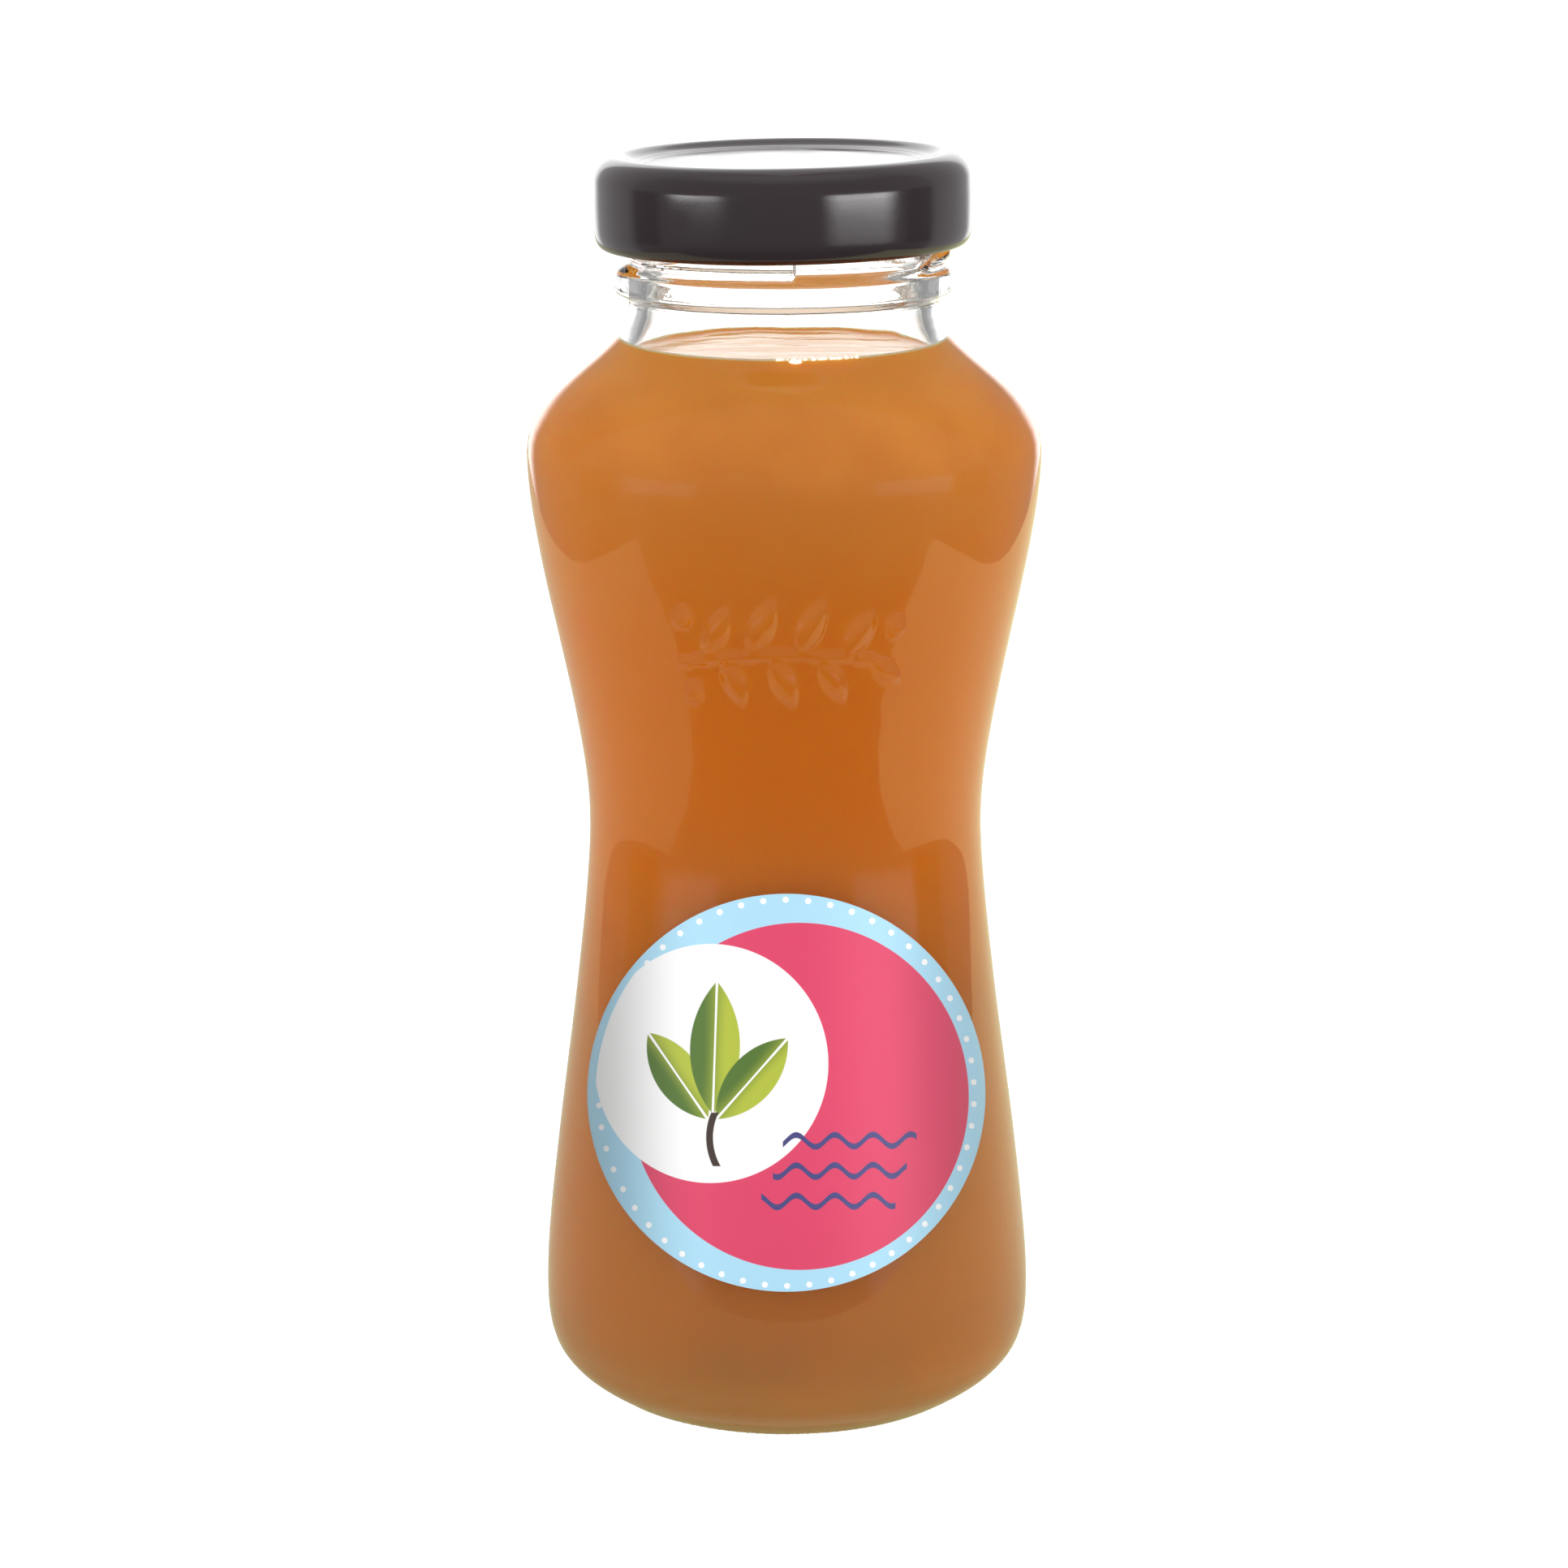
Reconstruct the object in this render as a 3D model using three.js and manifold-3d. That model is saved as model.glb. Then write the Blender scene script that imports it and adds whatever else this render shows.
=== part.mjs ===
// A shut glass bottle of cloudy fruit juice, with a steel twist-off lid and a round label.
// Millimetres, +Z up. The origin is the centre of the ring that the bottle stands on.
// The label faces -Y. All round pieces share the Z axis.

import * as THREE from 'three';
import { mergeVertices } from 'three/addons/utils/BufferGeometryUtils.js';
import Module from 'manifold-3d';

const wasm = await Module();
wasm.setup();

// Driving dimensions

// Flats round every turned piece, and the air left between pieces that touch on the real bottle.
const SIDES = 56;
const GAP = 0.3;

// Where the outer wall stands upright, from the foot ring up to the neck. A reach is how far a bend
// keeps to the upright below or above such a place.
const FOOT = { innerRadius: 21.0, radius: 23.5, pushUp: 2.6 };
const BELLY = { radius: 30.4, z: 12.0, reachBelow: 6.2, reachAbove: 13.6 };
const WAIST = { radius: 24.2, z: 72.4, reachBelow: 13.9, reachAbove: 13.4 };
const SHOULDER = { radius: 31.2, z: 117.9, reachBelow: 12.0, reachAbove: 8.7 };
const NECK = { radius: 18.65, z: 135.7, reachBelow: 6.3 };
const HEEL_SLOPE = { out: 6.0, up: 3.6 };

// The glass wall, its thick floor and the round corner that joins the two inside.
const WALL = 2.4;
const FLOOR = { centreZ: 5.6, edgeZ: 3.4, edgeRadius: 20 };

// The bead under the lid: an upright band with a slope above and below it.
const BEAD = { radius: 20.3, bottomZ: 137.6, topZ: 139.8, rounding: 0.35 };
const BEAD_SLOPES = { lowerZ: 136.4, upperZ: 141.1 };

// The mouth, with the three low lands that the lid screws on to.
const FINISH = { radius: 18.6, topZ: 152.1, lipRounding: 0.9 };
const THREAD = { count: 3, radius: 20.1, footZ: 140.4, sweepDeg: 66, blockHeight: 5.2, leadHeight: 0.6 };
const THREAD_END_DEG = 4.5;

// The level that the juice stands at, well up in the shoulder.
const JUICE_LEVEL = 130.0;

// The lid: a pressed steel cup with a raised ring round its panel and a rolled edge.
const LID = { radius: 22.7, topZ: 154.25, rimZ: 142.8, sheet: 0.5 };
const LID_RING = { innerRadius: 19.2, panelRadius: 17.6, panelDrop: 0.95 };
const LID_SHOULDER = { width: 2.9, height: 3.2 };
const LID_CURL = { width: 2.1, outerWidth: 1.35, outerHeight: 2.4, innerHeight: 0.8 };

// The label: paper whose outline reads as a circle from a little above the front. Its centre height is
// where the middle line of that view meets the waist's radius.
const LABEL = { width: 48.8, height: 47.2, centreZ: 43.9, thickness: 0.3, viewTiltDeg: 17.5 };

// Outlines, as lists of (radius, height) points

const at = (radius, z) => new THREE.Vector2(radius, z);

// A smooth bend from one point to another, given by its two handles. The first point is left out.
function bend(start, startHandle, endHandle, end, steps) {
  return new THREE.CubicBezierCurve(start, startHandle, endHandle, end).getPoints(steps).slice(1);
}

// A bend between two places where the wall stands upright.
function upright(lower, upper, steps) {
  return bend(
    at(lower.radius, lower.z),
    at(lower.radius, lower.z + lower.reachAbove),
    at(upper.radius, upper.z - upper.reachBelow),
    at(upper.radius, upper.z),
    steps,
  );
}

// A quarter round, from a point straight along to the corner's side and on to the other.
function quarter(start, corner, end, steps) {
  const roundness = 0.552;
  return bend(
    start,
    start.clone().lerp(corner, roundness),
    end.clone().lerp(corner, roundness),
    end,
    steps,
  );
}

// The same outline moved away from the axis by a distance, square to itself at each point.
function offset(points, distance) {
  return points.map((point, i) => {
    const before = points[Math.max(i - 1, 0)];
    const after = points[Math.min(i + 1, points.length - 1)];
    const along = after.clone().sub(before).normalize();
    return at(point.x + along.y * distance, point.y - along.x * distance);
  });
}

// The outer wall from the belly to the neck, with a given fineness.
function wallOutline(steps) {
  return [
    at(BELLY.radius, BELLY.z),
    ...upright(BELLY, WAIST, steps),
    ...upright(WAIST, SHOULDER, steps),
    ...upright(SHOULDER, NECK, steps + 1),
  ];
}

// The inside of the glass from the middle of its floor up to the neck, less a clearance.
function innerOutline(clearance) {
  const wall = offset(wallOutline(5), -WALL - clearance);
  const floorEdge = at(FLOOR.edgeRadius, FLOOR.edgeZ + clearance);
  const cornerReach = 5.5;
  return [
    at(0, FLOOR.centreZ + clearance),
    floorEdge,
    ...bend(
      floorEdge,
      at(floorEdge.x + cornerReach, floorEdge.y),
      at(wall[0].x, wall[0].y - cornerReach),
      wall[0],
      4,
    ),
    ...wall.slice(1),
  ];
}

// Solids

// A closed outline turned about the Z axis.
function turned(points) {
  return new THREE.LatheGeometry(points, SIDES).rotateX(Math.PI / 2);
}

function toManifold(geometry) {
  const bare = geometry.clone();
  bare.deleteAttribute('normal');
  bare.deleteAttribute('uv');
  const merged = mergeVertices(bare, 1e-4);
  const corners = Array.from(merged.index.array);
  const kept = [];
  for (let i = 0; i < corners.length; i += 3) {
    const [a, b, c] = corners.slice(i, i + 3);
    if (a !== b && b !== c && c !== a) {
      kept.push(a, b, c);
    }
  }
  return new wasm.Manifold(new wasm.Mesh({
    numProp: 3,
    vertProperties: new Float32Array(merged.attributes.position.array),
    triVerts: new Uint32Array(kept),
  }));
}

function toGeometry(manifold) {
  const mesh = manifold.getMesh();
  const geometry = new THREE.BufferGeometry();
  geometry.setAttribute('position', new THREE.BufferAttribute(mesh.vertProperties, 3));
  geometry.setIndex(new THREE.BufferAttribute(mesh.triVerts, 1));
  geometry.computeVertexNormals();
  return geometry;
}

// The bottle's wall from the middle of its underside, up the outside, over the lip and back inside.
function bottleShell() {
  const foot = at(FOOT.radius, 0);
  const footInner = at(FOOT.innerRadius, 0);
  const underside = bend(
    at(0, FOOT.pushUp),
    at(FOOT.innerRadius * 0.5, FOOT.pushUp),
    at(FOOT.innerRadius * 0.9, FOOT.pushUp * 0.7),
    footInner,
    4,
  );
  const heel = bend(
    foot,
    at(FOOT.radius + HEEL_SLOPE.out, HEEL_SLOPE.up),
    at(BELLY.radius, BELLY.z - BELLY.reachBelow),
    at(BELLY.radius, BELLY.z),
    6,
  );
  const bead = [
    at(NECK.radius + 0.1, BEAD_SLOPES.lowerZ),
    at(BEAD.radius - BEAD.rounding, BEAD.bottomZ - BEAD.rounding),
    at(BEAD.radius, BEAD.bottomZ),
    at(BEAD.radius, BEAD.topZ),
    at(BEAD.radius - BEAD.rounding, BEAD.topZ + BEAD.rounding),
    at(FINISH.radius, BEAD_SLOPES.upperZ),
  ];
  const inside = innerOutline(0).reverse();
  const lipOuter = at(FINISH.radius, FINISH.topZ - FINISH.lipRounding);
  const lipTop = at(FINISH.radius - FINISH.lipRounding, FINISH.topZ);
  const bore = inside[0].x;
  const lip = [
    lipOuter,
    ...quarter(lipOuter, at(FINISH.radius, FINISH.topZ), lipTop, 3),
    at(bore + FINISH.lipRounding / 2, FINISH.topZ),
    at(bore, FINISH.topZ - FINISH.lipRounding / 2),
  ];
  return turned([
    at(0, FOOT.pushUp),
    ...underside,
    foot,
    ...heel,
    ...wallOutline(7).slice(1),
    ...bead,
    ...lip,
    ...inside,
  ]);
}

// One land of the thread: level below, climbing to the right above, with a blunt right end.
function threadLand(endAngle) {
  const steps = 10;
  const sink = 0.8;
  const sweep = THREE.MathUtils.degToRad(THREAD.sweepDeg);
  const box = new THREE.BoxGeometry(1, 1, 1, steps, 1, 1).translate(-0.5, 0.5, 0.5);
  const place = box.attributes.position;
  for (let i = 0; i < place.count; i += 1) {
    const angle = endAngle + place.getX(i) * sweep;
    const climb = THREE.MathUtils.lerp(THREAD.blockHeight, THREAD.leadHeight, -place.getX(i));
    const radius = THREE.MathUtils.lerp(FINISH.radius - sink, THREAD.radius, place.getZ(i));
    const z = THREAD.footZ + place.getY(i) * climb;
    place.setXYZ(i, radius * Math.cos(angle), radius * Math.sin(angle), z);
  }
  return box;
}

function glassBottle() {
  let bottle = toManifold(bottleShell());
  for (let i = 0; i < THREAD.count; i += 1) {
    const endAngle = THREE.MathUtils.degToRad(THREAD_END_DEG - 90 + (i * 360) / THREAD.count);
    bottle = bottle.add(toManifold(threadLand(endAngle)));
  }
  return toGeometry(bottle);
}

// The juice fills the glass up to its level.
function juice() {
  const wall = innerOutline(GAP);
  const above = wall.findIndex((point) => point.y > JUICE_LEVEL);
  const share = (JUICE_LEVEL - wall[above - 1].y) / (wall[above].y - wall[above - 1].y);
  const edge = wall[above - 1].clone().lerp(wall[above], share);
  return turned([...wall.slice(0, above), edge, at(0, JUICE_LEVEL)]);
}

// The lid from the middle of its underside, round the curled rim and back over its top.
function lid() {
  const panelZ = LID.topZ - LID_RING.panelDrop;
  const shoulderRadius = LID.radius - LID_SHOULDER.width;
  const shoulderZ = LID.topZ - LID_SHOULDER.height;
  const curlOuter = at(LID.radius, LID.rimZ + LID_CURL.outerHeight);
  const curlFoot = at(LID.radius - LID_CURL.outerWidth, LID.rimZ);
  const curlInner = at(LID.radius - LID_CURL.width, LID.rimZ + LID_CURL.innerHeight);
  const inner = LID.radius - LID.sheet;
  const underZ = LID.topZ - LID.sheet;
  const underShift = LID.sheet / 2;
  return turned([
    at(0, panelZ - LID.sheet),
    at(LID_RING.panelRadius + underShift, panelZ - LID.sheet),
    at(LID_RING.innerRadius + underShift, underZ),
    at(shoulderRadius, underZ),
    ...quarter(at(shoulderRadius, underZ), at(inner, underZ), at(inner, shoulderZ), 4),
    at(inner, curlOuter.y + LID.sheet),
    curlInner,
    ...quarter(curlInner, at(curlInner.x, curlFoot.y), curlFoot, 3),
    ...quarter(curlFoot, at(curlOuter.x, curlFoot.y), curlOuter, 5),
    ...quarter(at(LID.radius, shoulderZ), at(LID.radius, LID.topZ), at(shoulderRadius, LID.topZ), 5),
    at(LID_RING.innerRadius, LID.topZ),
    at(LID_RING.panelRadius, panelZ),
    at(0, panelZ),
  ]);
}

// The label is a thin skin round the wall, cut out by a cylinder that points at the viewer.
function label() {
  const wall = wallOutline(7).filter((point) => point.y < SHOULDER.z);
  const face = offset(wall, GAP + LABEL.thickness);
  const back = offset(wall, GAP).reverse();
  const skin = toManifold(turned([...face, ...back, face[0]]));
  const tilt = THREE.MathUtils.degToRad(LABEL.viewTiltDeg);
  const reach = 44;
  const cutter = new THREE.CylinderGeometry(0.5, 0.5, reach, 40);
  cutter.scale(LABEL.width, 1, LABEL.height).rotateX(-tilt).translate(0, -WAIST.radius, LABEL.centreZ);
  return toGeometry(skin.intersect(toManifold(cutter)));
}

// Materials

const glass = new THREE.MeshStandardMaterial({
  color: 0xe6ebe6,
  roughness: 0.05,
  metalness: 0,
  transparent: true,
  opacity: 0.35,
});
const cloudyJuice = new THREE.MeshStandardMaterial({ color: 0xc8782d, roughness: 0.3, metalness: 0 });
const blackEnamel = new THREE.MeshStandardMaterial({ color: 0x2b2328, roughness: 0.25, metalness: 0 });
const labelPaper = new THREE.MeshStandardMaterial({ color: 0xe83e69, roughness: 0.5, metalness: 0 });

// The bottle

function part(name, geometry, material) {
  const mesh = new THREE.Mesh(geometry, material);
  mesh.name = name;
  return mesh;
}

const bottle = new THREE.Group();
bottle.add(part('glass_bottle', glassBottle(), glass));
bottle.add(part('juice', juice(), cloudyJuice));
bottle.add(part('lid', lid(), blackEnamel));
bottle.add(part('label', label(), labelPaper));

export default bottle;
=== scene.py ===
# %% [markdown]
# A shut bottle of cloudy juice.
# The lesson dresses a finished CAD model: a clear glass bottle, the juice inside it, a black steel lid
# and a round paper label. The CAD model stays as it is and gives every size. Each of its four solids is
# replaced by a finer mesh in the same place, with a material of its own.

# %% Load the CAD model
import math

import bpy
import numpy as np
from mathutils import Matrix, Vector, noise


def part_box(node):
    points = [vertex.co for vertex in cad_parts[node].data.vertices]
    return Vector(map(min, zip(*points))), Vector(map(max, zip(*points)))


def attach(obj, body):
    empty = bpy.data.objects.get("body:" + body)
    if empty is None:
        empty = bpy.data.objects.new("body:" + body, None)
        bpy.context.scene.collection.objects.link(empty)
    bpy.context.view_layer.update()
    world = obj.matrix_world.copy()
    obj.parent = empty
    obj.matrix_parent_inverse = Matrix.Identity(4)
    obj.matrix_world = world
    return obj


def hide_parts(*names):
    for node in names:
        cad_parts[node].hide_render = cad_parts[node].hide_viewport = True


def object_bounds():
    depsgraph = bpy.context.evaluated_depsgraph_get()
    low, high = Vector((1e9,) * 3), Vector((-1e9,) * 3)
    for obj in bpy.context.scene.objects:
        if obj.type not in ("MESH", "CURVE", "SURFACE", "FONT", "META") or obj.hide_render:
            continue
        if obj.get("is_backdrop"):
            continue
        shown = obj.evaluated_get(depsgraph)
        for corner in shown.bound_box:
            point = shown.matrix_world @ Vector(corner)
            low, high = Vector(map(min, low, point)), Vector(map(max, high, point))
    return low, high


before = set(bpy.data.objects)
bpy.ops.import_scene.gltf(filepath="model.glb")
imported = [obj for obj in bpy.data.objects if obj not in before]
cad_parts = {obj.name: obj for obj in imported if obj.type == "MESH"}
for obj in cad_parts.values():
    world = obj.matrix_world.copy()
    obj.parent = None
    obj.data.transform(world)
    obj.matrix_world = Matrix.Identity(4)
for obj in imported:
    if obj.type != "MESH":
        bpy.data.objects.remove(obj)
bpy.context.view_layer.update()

# %% [markdown]
# The camera.
# A product photograph is taken from far away with a long lens, so that upright lines stay upright. The
# distance, the height and the small tilt below make the bottle's outline, its lid and its label fall
# where they do in the picture. The lens is given for a sensor 36 mm wide and a square image.

# %% Camera
CAMERA_PLACE = Vector((-0.00015, -0.4935, 0.19207))
LOOK_DOWN = math.radians(13.2)
CAMERA_ROLL = math.radians(-0.21)
LENS_MM = 94.12


def placed(name, data):
    """A new object in the scene, made from a mesh or from the data of a camera."""
    made = bpy.data.objects.new(name, data)
    bpy.context.scene.collection.objects.link(made)
    return made


lens = bpy.data.cameras.new("photo_camera")
lens.sensor_width = 36
lens.lens = LENS_MM
lens.clip_start = 0.01
lens.clip_end = 20
camera = placed("photo_camera", lens)
turn = Matrix.Rotation(math.pi / 2 - LOOK_DOWN, 4, "X") @ Matrix.Rotation(CAMERA_ROLL, 4, "Z")
camera.matrix_world = Matrix.Translation(CAMERA_PLACE) @ turn
bpy.context.scene.camera = camera
print("camera", round(CAMERA_PLACE.length, 3), "m away, lens", LENS_MM, "mm")

# %% [markdown]
# Wiring helpers.
# Materials are built from nodes, and most of their nodes are sums. These few helpers add one node each
# and return its output, so that a pattern can be written almost like a formula.


# %% Node helpers
class Wires:
    """Adds nodes to one node tree and joins them up."""

    def __init__(self, tree):
        self.tree = tree

    def node(self, kind, inputs=None, **settings):
        made = self.tree.nodes.new(kind)
        for name, value in settings.items():
            setattr(made, name, value)
        self.feed(made, inputs or {})
        return made

    def feed(self, node, inputs):
        """Sets inputs of a node, given as name: value or name: another node's output."""
        for name, value in inputs.items():
            self.plug(value, node.inputs[name])

    def plug(self, value, socket):
        if isinstance(value, bpy.types.NodeSocket):
            self.tree.links.new(value, socket)
        else:
            socket.default_value = value

    def math(self, operation, *values):
        made = self.tree.nodes.new("ShaderNodeMath")
        made.operation = operation
        for i, value in enumerate(values):
            self.plug(value, made.inputs[i])
        return made.outputs[0]

    def plus(self, first, second):
        return self.math("ADD", first, second)

    def minus(self, first, second):
        return self.math("SUBTRACT", first, second)

    def times(self, first, second):
        return self.math("MULTIPLY", first, second)

    def length(self, x, y):
        """Length of a flat step with these two sides."""
        return self.math("SQRT", self.plus(self.times(x, x), self.times(y, y)))

    def ramp(self, value, low, high, start=0.0, end=1.0, smooth=True):
        """Goes from start to end while value goes from low to high."""
        made = self.node(
            "ShaderNodeMapRange",
            {"Value": value, "From Min": low, "From Max": high, "To Min": start, "To Max": end},
            interpolation_type="SMOOTHSTEP" if smooth else "LINEAR",
        )
        return made.outputs["Result"]

    def window(self, value, low, high, soft):
        """Is 1 between low and high, and fades to 0 over a soft edge."""
        rise = self.ramp(value, low - soft, low + soft)
        fall = self.ramp(value, high - soft, high + soft, 1.0, 0.0)
        return self.times(rise, fall)

    def place(self):
        """The shaded point's own place, in metres."""
        return self.node("ShaderNodeTexCoord").outputs["Object"]

    def parts(self, vector):
        """The x, y and z of a vector."""
        return self.node("ShaderNodeSeparateXYZ", {0: vector}).outputs

    def facing_up(self):
        """How far the surface faces up, from minus 1 to 1."""
        return self.parts(self.node("ShaderNodeNewGeometry").outputs["Normal"])[2]

    def noise(self, place, scale, detail):
        inputs = {"Vector": place, "Scale": scale, "Detail": detail}
        return self.node("ShaderNodeTexNoise", inputs).outputs[0]

    def bump(self, strength, distance, height):
        inputs = {"Strength": strength, "Distance": distance, "Height": height}
        return self.node("ShaderNodeBump", inputs).outputs[0]

    def mix(self, share, first, second):
        made = self.tree.nodes.new("ShaderNodeMix")
        made.data_type = "RGBA"
        self.plug(share, made.inputs[0])
        self.plug(first, made.inputs[6])
        self.plug(second, made.inputs[7])
        return made.outputs[2]


def paint(red, green, blue):
    """A colour named as it looks on a screen, 0 to 255, turned into the light values that nodes use."""
    def light(level):
        share = level / 255
        return share / 12.92 if share <= 0.04045 else ((share + 0.055) / 1.055) ** 2.4

    return (light(red), light(green), light(blue), 1.0)


def new_material(name):
    """An empty Principled material, with the wires to add nodes to it."""
    made = bpy.data.materials.new(name)
    made.use_nodes = True
    wires = Wires(made.node_tree)
    return made, wires, made.node_tree.nodes["Principled BSDF"]


print("helpers ready")

# %% [markdown]
# The studio.
# Glass shows what is round it, so the studio matters as much as the glass. The bottle stands on a white
# table that ends a hand's breadth in front of it. A white backdrop hangs behind it, the photographer's
# side is dim, and two low soft lights stand left and right of the lens. All that is far away is painted
# in the world by direction, which gives light without noise.
# A world can answer each kind of ray in its own way, and this one gives four answers. The camera itself
# sees plain white. Rays that light the juice and the paper have at least one diffuse bounce, and see an
# even room as if from large lights. Rays that have met only smooth glass are called singular, and see
# the dim studio with two pale bands. Rays off the satin lid see the same studio with the hot lamps, a
# lighter ceiling and a backdrop that is taller in its middle. Through glass the backdrop looks taller
# but a little narrower, which leaves the clear neck white in its middle and grey towards its sides.
# The numbers are degrees: round the bottle from the camera's side, and up from level. The rest is light.

# %% Studio world
DIM_LOW, DIM_HIGH = 0.16, 0.46
DIM_HEIGHTS = (-36.0, 6.0)
DIM_THROUGH_GLASS = 0.45
MORE_IN_SATIN = 0.14
CEILING = 0.95
CEILING_FROM = (42.0, 75.0)
NOTCH = (80.0, 102.0)
NOTCH_HEIGHTS = (-14.0, 4.0)
NOTCH_SOFT = 3.0
NOTCH_DEPTH = 0.2
SIDES_IN_GLASS, SIDES_IN_SATIN = 0.3, 0.75
SIDES_FROM, SIDES_SOFT = 104.0, 5.0
BACKDROP = 2.0
BACKDROP_FROM, BACKDROP_SOFT = 153.0, 6.0
BACKDROP_TOP_EDGE, BACKDROP_TOP_MIDDLE = 8.0, 36.0
BACKDROP_TOP_SOFT = 5.0
MIDDLE_FROM = (152.0, 164.0)
OVER_BACKDROP = 1.1
NARROWER_THROUGH_GLASS, TALLER_THROUGH_GLASS = 6.0, 34.0
LEFT_BAND, LEFT_BAND_SOFT = (-74.0, -40.0), 5.0
RIGHT_BAND, RIGHT_BAND_SOFT = (40.0, 79.0), 3.0
BAND_HEIGHTS, BAND_HEIGHTS_SOFT = (-11.0, 1.0), 1.2
BAND_LIGHT = 0.45
LEFT_LAMP = (-70.0, -38.0)
RIGHT_LAMP = (29.0, 69.0)
LAMP_SOFT = 7.0
LAMP_LOW, LAMP_TINT = (-16.0, 1.0), 3.2
LAMP_HOT_FROM, LAMP_HOT = (-6.0, 0.5), 5.8
LAMP_TOP = (0.2, 2.0)
FILL_FRONT = 0.8
FILL_SIDE = 0.58
FILL_BACK = 1.36
FILL_TOP = 0.3

world = bpy.data.worlds.new("studio")
bpy.context.scene.world = world
world.use_nodes = True
world.cycles.sampling_method = "NONE"
sky = Wires(world.node_tree)
direction = sky.node("ShaderNodeTexCoord").outputs["Generated"]
across, along, up = sky.parts(direction)
round_angle = sky.math("DEGREES", sky.math("ARCTAN2", across, sky.times(along, -1.0)))
off_front = sky.math("ABSOLUTE", round_angle)
height_angle = sky.math("DEGREES", sky.math("ARCSINE", up))
ray = sky.node("ShaderNodeLightPath").outputs
through_glass = ray["Is Transmission Ray"]
in_satin = sky.minus(1.0, ray["Is Singular Ray"])

# The dim side of the room, with a dark notch low down at either side.
dim = sky.ramp(height_angle, *DIM_HEIGHTS, DIM_LOW, DIM_HIGH)
dim = sky.math("MAXIMUM", dim, sky.times(through_glass, DIM_THROUGH_GLASS))
dim = sky.plus(dim, sky.times(in_satin, MORE_IN_SATIN))
dim = sky.ramp(sky.times(height_angle, in_satin), *CEILING_FROM, dim, CEILING)
notch = sky.window(off_front, *NOTCH, NOTCH_SOFT)
notch = sky.times(notch, sky.window(height_angle, *NOTCH_HEIGHTS, NOTCH_SOFT))
dim = sky.minus(dim, sky.times(notch, NOTCH_DEPTH))

# The side walls, and the wall over the backdrop.
side_level = sky.ramp(in_satin, 0.0, 1.0, SIDES_IN_GLASS, SIDES_IN_SATIN)
sides = sky.ramp(off_front, SIDES_FROM - SIDES_SOFT, SIDES_FROM + SIDES_SOFT, dim, side_level)
middle = sky.times(off_front, in_satin)
sides = sky.ramp(middle, *MIDDLE_FROM, sides, OVER_BACKDROP)

# The backdrop.
narrower = sky.times(through_glass, NARROWER_THROUGH_GLASS)
taller = sky.times(through_glass, TALLER_THROUGH_GLASS)
behind = sky.minus(off_front, narrower)
behind = sky.ramp(behind, BACKDROP_FROM - BACKDROP_SOFT, BACKDROP_FROM + BACKDROP_SOFT)
backdrop_top = sky.ramp(middle, *MIDDLE_FROM, BACKDROP_TOP_EDGE, BACKDROP_TOP_MIDDLE)
over_top = sky.minus(sky.minus(height_angle, taller), backdrop_top)
not_high = sky.ramp(over_top, -BACKDROP_TOP_SOFT, BACKDROP_TOP_SOFT, 1.0, 0.0)
room = sky.ramp(sky.times(behind, not_high), 0.0, 1.0, sides, BACKDROP, smooth=False)

# The two soft lights: pale bands for the glass, hot lamps for the satin lid.
left_band = sky.window(round_angle, *LEFT_BAND, LEFT_BAND_SOFT)
right_band = sky.window(round_angle, *RIGHT_BAND, RIGHT_BAND_SOFT)
bands = sky.times(sky.plus(left_band, right_band), sky.window(height_angle, *BAND_HEIGHTS, BAND_HEIGHTS_SOFT))
left_lamp = sky.window(round_angle, *LEFT_LAMP, LAMP_SOFT)
right_lamp = sky.window(round_angle, *RIGHT_LAMP, LAMP_SOFT)
hot = sky.times(sky.plus(left_lamp, right_lamp), sky.ramp(height_angle, *LAMP_HOT_FROM, 0.0, LAMP_HOT))
tint = sky.times(right_lamp, sky.ramp(height_angle, *LAMP_LOW, 0.0, LAMP_TINT, smooth=False))
lamps = sky.times(sky.plus(hot, tint), sky.ramp(height_angle, *LAMP_TOP, 1.0, 0.0))
lights = sky.ramp(in_satin, 0.0, 1.0, sky.times(bands, BAND_LIGHT), lamps, smooth=False)
seen = sky.plus(room, lights)

# What lights the juice and the paper.
fill = sky.ramp(along, -1.0, 1.0, FILL_FRONT, FILL_BACK)
fill = sky.plus(fill, sky.times(sky.math("MAXIMUM", up, 0.0), FILL_TOP))
fill = sky.plus(fill, sky.times(sky.math("ABSOLUTE", across), FILL_SIDE))

lights_matter = sky.math("MINIMUM", ray["Diffuse Depth"], 1.0)
strength = sky.ramp(lights_matter, 0.0, 1.0, seen, fill, smooth=False)
strength = sky.math("MAXIMUM", strength, ray["Is Camera Ray"])
sky.plug(strength, world.node_tree.nodes["Background"].inputs["Strength"])
world.node_tree.nodes["Background"].inputs["Color"].default_value = (1, 1, 1, 1)
print("studio with", len(world.node_tree.nodes), "nodes")

# %% [markdown]
# The table.
# The table is a plain pale sheet. It also glows a little, so that it stays white right up to the glass.
# In the mirror of the glass it glows less, and least on the left, and it is tinted there like the juice,
# since the picture shows soft amber bands along both sides of the bottle.

# %% Table
TABLE_FRONT = -0.105
TABLE_BACK = 3.0
TABLE_HALF_WIDTH = 0.285
TABLE_PAINT = 0.25
GLOW_TO_CAMERA = 1.0
GLOW_THROUGH_GLASS = 1.1
GLOW_TO_MATT = 0.3
GLOW_IN_GLOSS = (0.3, 0.6)
GLOSS_PLACES = (-0.02, 0.12)
GLOSS_TINT = (1.0, 1.0, 0.4, 1.0)

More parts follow.
